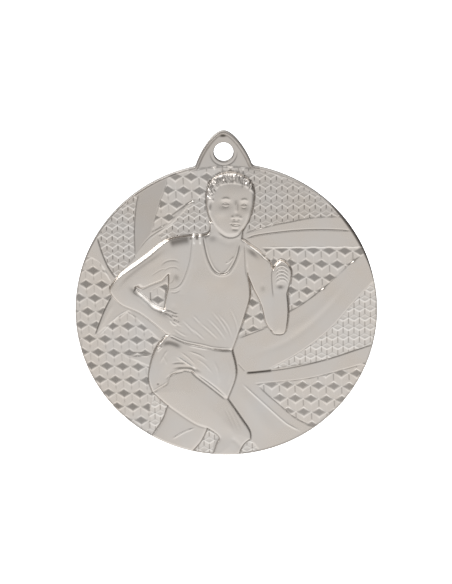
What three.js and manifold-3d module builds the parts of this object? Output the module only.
// A struck sports medal: a disc with a ring ear and a front relief, and a label plate glued in its back.
// Millimetres. +X right, +Z up, the face looks towards -Y. The origin is the centre of the ring hole.
import * as THREE from 'three';
import { mergeVertices } from 'three/addons/utils/BufferGeometryUtils.js';
import Module from 'manifold-3d';

const wasm = await Module();
wasm.setup();

// Driving dimensions of the blank
const DISC_RADIUS = 25;
const BODY_THICKNESS = 1.6;
const EDGE_ROUND = 0.15;
const BORDER_WIDTH = 0.45;
const BORDER_RISE = 0.08;
const DISC_SEGMENTS = 96;

// Ring ear: its hole is the origin, and the disc hangs below it
const HOLE_RADIUS = 1.6;
const HOLE_TO_DISC = 27;
const HOLE_CHAMFER = 0.15;
const HOLE_SEGMENTS = 32;
const EAR_THICKNESS = 1.4;
const EAR_HALF_WIDTH = 4.75;
const EAR_BASE = 24.35;
const EAR_TOP = 30.5;
const EAR_LEAN_IN = 0.65;
const EAR_LEAN_UP = 2.45;
const EAR_TOP_PULL = 1.7;
const EAR_BORDER_WIDTH = 0.5;
const EAR_BORDER_RISE = 0.22;
const EAR_ROOT = 20;
const EAR_CURVE_STEPS = 10;

// Label plate and its adhesive, in a recess of the back
const RECESS_RADIUS = 23;
const RECESS_DEPTH = 0.5;
const ADHESIVE_RADIUS = 22;
const ADHESIVE_THICKNESS = 0.1;
const PLATE_RADIUS = 22.7;
const PLATE_THICKNESS = 0.35;

// Relief levels, measured from the plain ribbons of the front
const PATTERN_DEPTH = 0.14;
const CUBE_TOP_RISE = 0.1;
const GROOVE_WIDTH = 0.2;
const GROOVE_DEPTH = 0.1;
const FAR_LEG_RISE = 0.3;
const NEAR_LEG_RISE = 0.55;
const FAR_ARM_RISE = 0.6;
const SKIN_RISE = 0.6;
const CLOTH_RISE = 0.72;
const NEAR_ARM_RISE = 0.8;
const FIST_RISE = 1.0;
const HEAD_RISE = 1.1;

// The relief was struck a little turned, shifted and shrunk against the blank
const ARTWORK_TURN = THREE.MathUtils.degToRad(-0.95);
const ARTWORK_SHIFT = [0.05, 0.36];
const ARTWORK_SCALE = 0.996;

// Tumbling cubes: two lattice steps, the place of one cube top, and the half sizes of a top
const CUBE_STEP_ACROSS = new THREE.Vector2(2.613, -0.086);
const CUBE_STEP_DOWN = new THREE.Vector2(1.413, -2.393);
const CUBE_START = new THREE.Vector2(13.1, 8.0);
const CUBE_HALF_WIDTH = 1.0;
const CUBE_HALF_HEIGHT = 0.58;

const FRONT = BODY_THICKNESS / 2;
const BACK = -FRONT;
const EAR_FIELD = FRONT - EAR_BORDER_RISE;
const EAR_BACK = FRONT - EAR_THICKNESS;
const PLAIN = FRONT - BORDER_RISE;
const FIELD_RADIUS = DISC_RADIUS - BORDER_WIDTH;
const EMBED = 0.3;
const MERGE_TOLERANCE = 1e-4;

// ---- solids ----

function toSolid(geometry) {
  const bare = geometry.clone();
  bare.deleteAttribute('normal');
  bare.deleteAttribute('uv');
  const merged = mergeVertices(bare, MERGE_TOLERANCE);
  const mesh = new wasm.Mesh({
    numProp: 3,
    vertProperties: new Float32Array(merged.attributes.position.array),
    triVerts: new Uint32Array(merged.index.array),
  });
  return new wasm.Manifold(mesh);
}

function toGeometry(solid) {
  const mesh = solid.getMesh();
  const geometry = new THREE.BufferGeometry();
  geometry.setAttribute('position', new THREE.BufferAttribute(mesh.vertProperties, 3));
  geometry.setIndex(new THREE.BufferAttribute(mesh.triVerts, 1));
  geometry.computeVertexNormals();
  return geometry;
}

function unionOf(solids) {
  return solids.reduce((sum, solid) => sum.add(solid));
}

// A turned solid on an axis along local Z. Profile points are [radius, height].
function turned(profile, segments = DISC_SEGMENTS, axisHeight = 0) {
  const points = profile.map(([radius, height]) => new THREE.Vector2(radius, height));
  const geometry = new THREE.LatheGeometry(points, segments);
  geometry.rotateX(Math.PI / 2);
  geometry.translate(0, axisHeight, 0);
  return toSolid(geometry);
}

function roundSlab(radius, low, high, segments = DISC_SEGMENTS) {
  return turned([[0, low], [radius, low], [radius, high], [0, high]], segments);
}

// A closed outline. It starts at its first point, and each stretch after it is a smooth curve through
// its points, or a straight line when it has only one. Stretches meet at corners.
function outlineShape([start, ...stretches]) {
  const shape = new THREE.Shape();
  shape.moveTo(...start);
  for (const stretch of stretches) {
    if (stretch.length === 1) {
      shape.lineTo(...stretch[0]);
    } else {
      shape.splineThru(stretch.map((point) => new THREE.Vector2(...point)));
    }
  }
  return shape;
}

function prismGeometry(shape, low, high, curveSegments) {
  const geometry = new THREE.ExtrudeGeometry(shape, {
    depth: high - low,
    bevelEnabled: false,
    curveSegments,
  });
  geometry.translate(0, 0, low);
  return geometry;
}

// Puts a form of the relief where it was struck on the blank
function struck(geometry) {
  geometry.rotateZ(ARTWORK_TURN);
  geometry.scale(ARTWORK_SCALE, ARTWORK_SCALE, 1);
  geometry.translate(...ARTWORK_SHIFT, 0);
  return toSolid(geometry);
}

function artPrism(shape, low, high, curveSegments = 1) {
  return struck(prismGeometry(shape, low, high, curveSegments));
}

// A groove's cutter: a strip of even width along a smooth line
function strip(points, width, low, high) {
  const line = new THREE.SplineCurve(points.map((point) => new THREE.Vector2(...point)));
  const count = points.length * 2;
  const left = [];
  const right = [];
  for (let i = 0; i <= count; i += 1) {
    const middle = line.getPoint(i / count);
    const along = line.getTangent(i / count);
    const side = new THREE.Vector2(-along.y, along.x).multiplyScalar(width / 2);
    left.push(middle.clone().add(side));
    right.unshift(middle.clone().sub(side));
  }
  return artPrism(new THREE.Shape([...left, ...right]), low, high);
}

// ---- outlines of the front relief, from the disc's centre ----

const CUBE_FIELDS = {
  right: [[6.0, 10.6], [[14, 10.72], [26, 10.75]], [[24, 10.4]],
    [[21, 8.4], [17, 4.6], [14, 2.1], [10.3, -0.4]], [[9.5, 4]]],
  lowerRight: [[4.9, -12.85], [[8, -12.6], [12, -12.2], [16, -11.4], [26, -8.4]], [[26, -22]], [[16, -21.5]],
    [[11.6, -18.9], [8.6, -16.3], [4.9, -12.85]]],
  upperLeft: [[-9.2, 24], [[-9.9, 21.3], [-11.1, 17.9], [-12.4, 13.3]],
    [[-9.3, 15.2], [-6.3, 18.1], [-3.2, 19.4]], [[-1, 22]], [[2.2, 23]], [[2.2, 26]]],
  left: [[-24.5, 9.4], [[-22.6, 9.1]], [[-20.6, 7.9], [-19.2, 4.8]], [[-19, 2.5]],
    [[-20.5, -0.5], [-21.9, -4.3]], [[-19.2, -2.2], [-16.3, -0.1]], [[-14.2, -2.2], [-11.1, -5.2]],
    [[-10.5, -8]], [[-16.9, -8]], [[-13, -9.7]], [[-10.5, -14]], [[-12.5, -14.7]],
    [[-12.9, -17.5], [-12.9, -22.5]], [[-26, -22.5]], [[-28, 9]]],
  behindFarArm: [[-12.9, 4.2], [[-9.7, 5.9]], [[-9.6, 4.2]], [[-10.2, 1.9], [-10.2, 0.2]], [[-12.8, 1.1]]],
  behindNearArm: [[4.4, 3.7], [[5.7, 1], [6.2, -1], [6.7, -2.9]], [[1.6, -4.9]], [[3, -1], [4, 2.4], [4.4, 3.7]]],
};

const WEAVE_FIELDS = {
  upperRight: [[2.2, 26], [[2.2, 23]], [[4.5, 21]], [[3.2, 13.2]],
    [[8, 14.6], [12, 15.35], [16, 15.85], [26, 15.95]], [[26, 26]]],
  lowerRight: [[7.2, -10.2], [[12, -7.5], [17, -3.5], [21, 1.2], [26, 6.8]], [[28, -5]],
    [[22, -6.8], [16, -8.85], [7.2, -10.3]]],
  upperLeft: [[-14.1, 21.5], [[-14.8, 18], [-15.2, 12], [-15.1, 9.2]], [[-18.3, 5.5]],
    [[-19.6, 7.5], [-21.2, 11.7], [-21.5, 14]]],
  besideNeck: [[-3.4, 19.3], [[-5.2, 18.7], [-8.4, 15.4], [-11.2, 12.9]], [[-10, 11]], [[-3, 12.5]]],
  besideFarLeg: [[-12.4, -14.8], [[-11, -15.6], [-9.9, -16.9]], [[-10.8, -19.2], [-12.6, -21.8]],
    [[-13.2, -21.8]], [[-12.9, -18], [-12.4, -14.8]]],
  betweenLegs: [[-3.2, -20.7], [[-2, -21.5], [-1.1, -22.6]], [[-1.9, -23], [-2.5, -25.5]], [[-6.2, -25]],
    [[-4.3, -23], [-3.2, -20.7]]],
  underKnee: [[4.1, -22.7], [[2.9, -23.7], [2.1, -25.2]], [[5.6, -24.7]]],
};

const GROOVES = [
  [[2.9, 12.25], [5, 12.8], [8, 13.25], [12, 13.65], [16, 13.75], [20.8, 13.55]],
  [[3.2, -10.85], [7, -10.6], [12, -9.85], [17, -8.55], [24.1, -6.1]],
  [[-14.3, 20.2], [-14.9, 17], [-15.2, 12], [-15.1, 9.3]],
  [[-21.3, 12.6], [-20.6, 10], [-18.3, 5.5]],
  [[-19, 2.5], [-20.5, -0.5], [-21.9, -4.3]],
];

const FIGURE = {
  farLeg: [[-9.2, -15.4], [[-9.9, -16.8], [-10.8, -19.2], [-13, -22.6]], [[-12, -26]], [[-6, -25]],
    [[-4.3, -23], [-3.2, -20.7]], [[-1, -17]]],
  nearLeg: [[-12.4, -14.3], [[-9.7, -16.8], [-5.5, -19.8], [-3.2, -20.7], [-1.1, -22.5]],
    [[-1.9, -23.2], [-2.5, -26]], [[1.8, -26]], [[2.9, -23.6], [4.1, -22.6]],
    [[3.9, -21], [2.2, -18.3], [0.3, -15.5]], [[-2, -11]], [[-9, -10]]],
  farArm: [[-4.6, 12.9], [[-9.5, 12.3], [-14, 9.1], [-17.6, 6.3], [-19.3, 3.9], [-19.1, 2.6]],
    [[-17.5, 0.9], [-14.2, -0.7], [-10, -4.2]], [[-8.4, -4.2]], [[-8.6, -0.3]], [[-10.1, 0]],
    [[-12, 0.6], [-14.2, 2.4], [-14.9, 3.6]], [[-12, 5.4], [-9.7, 6.4]], [[-9.75, 3.0]], [[-6.5, 2.5]],
    [[-4.6, 8]]],
  shorts: [[-9.9, -4.2], [[-12, -7], [-13.1, -11.5], [-12.4, -14.4]],
    [[-10, -12.9], [-9.4, -11.4], [-6.5, -10.5], [-2.5, -13], [0.2, -15.5]],
    [[1.7, -11], [1, -6.9]], [[0, -5]], [[-9, -3]]],
  singlet: [[-9.8, -4.3], [[-5, -5.9], [-2, -6.7], [1, -6.9]], [[2.6, -2.4], [4, 2.6], [3.5, 7], [4.2, 10.9]],
    [[2.6, 12.3]], [[-5.6, 13]], [[-6.1, 9], [-7.2, 5.4], [-9.7, 3.9]], [[-10.2, 1.5], [-9.6, -1], [-9.8, -4.3]]],
  neckAndChest: [[-2.6, 15], [[-2.9, 13.7], [-3.9, 12.9]], [[-3.2, 9.4], [-2, 6.9], [-0.8, 6.35], [0.6, 7], [1.8, 10],
    [2.8, 12.2]], [[2.8, 15]]],
  nearArm: [[2.8, 12.1], [[5.5, 10.2], [7.35, 8.2]], [[8.5, 5]], [[9.8, -3.6]],
    [[8.6, -4.2], [6.7, -2.6], [5.7, 1], [4.4, 3.7]], [[3.5, 6]]],
  nearForearm: [[7.7, 3], [[7.4, 6.4], [9, 8.65], [10.8, 6.8], [10.1, 3.1]], [[10.35, 0], [9.9, -3.5], [8.7, -4.2],
    [7.4, -3.2], [7.7, 3]]],
};

// Head: a plain dome. Its centre, half sizes and lean
const HEAD_CENTRE = new THREE.Vector2(0.5, 18.1);
const HEAD_HALF_WIDTH = 4.0;
const HEAD_HALF_HEIGHT = 5.5;
const HEAD_LEAN = THREE.MathUtils.degToRad(-4);

// ---- front relief ----

function cubeTop(centre) {
  const shape = new THREE.Shape([
    new THREE.Vector2(centre.x - CUBE_HALF_WIDTH, centre.y),
    new THREE.Vector2(centre.x, centre.y - CUBE_HALF_HEIGHT),
    new THREE.Vector2(centre.x + CUBE_HALF_WIDTH, centre.y),
    new THREE.Vector2(centre.x, centre.y + CUBE_HALF_HEIGHT),
  ]);
  return artPrism(shape, PLAIN - PATTERN_DEPTH - EMBED, PLAIN - PATTERN_DEPTH + CUBE_TOP_RISE);
}

function cubeTops() {
  const reach = Math.ceil((2 * DISC_RADIUS) / CUBE_STEP_ACROSS.x);
  const tops = [];
  for (let down = -reach; down <= reach; down += 1) {
    for (let across = -2 * reach; across <= 2 * reach; across += 1) {
      const centre = CUBE_START.clone()
        .addScaledVector(CUBE_STEP_ACROSS, across)
        .addScaledVector(CUBE_STEP_DOWN, down);
      if (centre.length() < FIELD_RADIUS) {
        tops.push(cubeTop(centre));
      }
    }
  }
  return unionOf(tops);
}

function fieldCutter(fields) {
  const floor = PLAIN - PATTERN_DEPTH;
  return unionOf(Object.values(fields).map((outline) => artPrism(outlineShape(outline), floor, PLAIN + EMBED)));
}

// What is struck below the ribbons: both pattern fields, with the cube tops left standing, and the grooves
function reliefCutter() {
  const grooves = GROOVES.map((line) => strip(line, GROOVE_WIDTH, PLAIN - GROOVE_DEPTH, PLAIN + EMBED));
  return fieldCutter(CUBE_FIELDS)
    .subtract(cubeTops())
    .add(fieldCutter(WEAVE_FIELDS))
    .add(unionOf(grooves));
}

function headDome() {
  const dome = new THREE.SphereGeometry(1, 24, 16);
  dome.rotateX(Math.PI / 2);
  dome.scale(HEAD_HALF_WIDTH, HEAD_HALF_HEIGHT, HEAD_RISE + EMBED);
  dome.rotateZ(HEAD_LEAN);
  dome.translate(HEAD_CENTRE.x, HEAD_CENTRE.y, PLAIN - EMBED);
  const below = roundSlab(DISC_RADIUS, PLAIN - 2 * DISC_RADIUS, PLAIN - EMBED);
  return struck(dome).subtract(below);
}

function figureLayer(outline, rise) {
  return artPrism(outlineShape(outline), PLAIN - EMBED, PLAIN + rise, 2);
}

function figure() {
  const neckline = artPrism(outlineShape(FIGURE.neckAndChest), PLAIN + SKIN_RISE, PLAIN + 2 * HEAD_RISE, 2);
  return unionOf([
    figureLayer(FIGURE.farLeg, FAR_LEG_RISE),
    figureLayer(FIGURE.nearLeg, NEAR_LEG_RISE),
    figureLayer(FIGURE.shorts, CLOTH_RISE),
    figureLayer(FIGURE.farArm, FAR_ARM_RISE),
    figureLayer(FIGURE.singlet, CLOTH_RISE).subtract(neckline),
    figureLayer(FIGURE.neckAndChest, SKIN_RISE),
    figureLayer(FIGURE.nearArm, NEAR_ARM_RISE),
    figureLayer(FIGURE.nearForearm, FIST_RISE),
    headDome(),
  ]);
}

// ---- the blank ----

// Quarter arcs round both edges of the rim, from the back face to the border on the front
function roundedRim() {
  const points = [];
  const steps = 4;
  for (let i = 0; i <= steps; i += 1) {
    const angle = (-Math.PI / 2) + (i / steps) * (Math.PI / 2);
    points.push([
      DISC_RADIUS - EDGE_ROUND + EDGE_ROUND * Math.cos(angle),
      BACK + EDGE_ROUND + EDGE_ROUND * Math.sin(angle),
    ]);
  }
  for (let i = 0; i <= steps; i += 1) {
    const angle = (i / steps) * (Math.PI / 2);
    points.push([
      DISC_RADIUS - EDGE_ROUND + EDGE_ROUND * Math.cos(angle),
      FRONT - EDGE_ROUND + EDGE_ROUND * Math.sin(angle),
    ]);
  }
  return points;
}

function blankDisc() {
  const recessFloor = BACK + RECESS_DEPTH;
  return turned([
    [0, recessFloor],
    [RECESS_RADIUS, recessFloor],
    [RECESS_RADIUS, BACK],
    ...roundedRim(),
    [FIELD_RADIUS, PLAIN],
    [0, PLAIN],
  ]);
}

// The ear's outline, smaller by an inset all round
function earShape(inset) {
  const half = EAR_HALF_WIDTH - inset;
  const top = EAR_TOP - inset;
  const leanIn = half - EAR_LEAN_IN;
  const leanUp = EAR_BASE + EAR_LEAN_UP;
  const shape = new THREE.Shape();
  shape.moveTo(-half, EAR_ROOT);
  shape.lineTo(half, EAR_ROOT);
  shape.lineTo(half, EAR_BASE);
  shape.bezierCurveTo(leanIn, leanUp, EAR_TOP_PULL, top, 0, top);
  shape.bezierCurveTo(-EAR_TOP_PULL, top, -leanIn, leanUp, -half, EAR_BASE);
  return shape;
}

// The ear is flush with the border on the front, and its field is sunk inside a border of its own
function ear() {
  const plate = toSolid(prismGeometry(earShape(0), EAR_BACK, FRONT, EAR_CURVE_STEPS));
  const inner = earShape(EAR_BORDER_WIDTH);
  const sunkField = toSolid(prismGeometry(inner, EAR_FIELD, FRONT + EMBED, EAR_CURVE_STEPS));
  const insideDisc = roundSlab(FIELD_RADIUS - BORDER_WIDTH, -BODY_THICKNESS, BODY_THICKNESS);
  return plate.subtract(sunkField).subtract(insideDisc);
}

function ringHole() {
  const past = 1;
  const mouth = HOLE_RADIUS + HOLE_CHAMFER + past;
  const profile = [
    [0, EAR_BACK - past],
    [mouth, EAR_BACK - past],
    [HOLE_RADIUS, EAR_BACK + HOLE_CHAMFER],
    [HOLE_RADIUS, EAR_FIELD - HOLE_CHAMFER],
    [mouth, EAR_FIELD + past],
    [0, EAR_FIELD + past],
  ];
  return turned(profile, HOLE_SEGMENTS, HOLE_TO_DISC);
}

function medalBody() {
  const insideBorder = roundSlab(FIELD_RADIUS, -BODY_THICKNESS, 2 * BODY_THICKNESS);
  return blankDisc()
    .subtract(reliefCutter().intersect(insideBorder))
    .add(figure().intersect(insideBorder))
    .add(ear())
    .subtract(ringHole());
}

// ---- the label plate and its adhesive ----

function adhesiveDisc() {
  const floor = BACK + RECESS_DEPTH;
  return roundSlab(ADHESIVE_RADIUS, floor - ADHESIVE_THICKNESS, floor);
}

function backPlate() {
  const seat = BACK + RECESS_DEPTH - ADHESIVE_THICKNESS;
  return roundSlab(PLATE_RADIUS, seat - PLATE_THICKNESS, seat);
}

// ---- assembly ----

function namedMesh(name, solid, color, metalness, roughness) {
  const material = new THREE.MeshStandardMaterial({ color, metalness, roughness });
  const mesh = new THREE.Mesh(toGeometry(solid), material);
  mesh.name = name;
  return mesh;
}

// The medal is laid out flat, face up (+Z), from the disc's centre, and then stood upright
const flat = new THREE.Group();
flat.add(namedMesh('medal_body', medalBody(), 0xbeb9b3, 1.0, 0.3));
flat.add(namedMesh('adhesive_disc', adhesiveDisc(), 0xd9d4c4, 0.0, 0.6));
flat.add(namedMesh('back_plate', backPlate(), 0xc9c9c6, 1.0, 0.25));
flat.rotation.x = Math.PI / 2;
flat.position.z = -HOLE_TO_DISC;

const medal = new THREE.Group();
medal.add(flat);

export default medal;
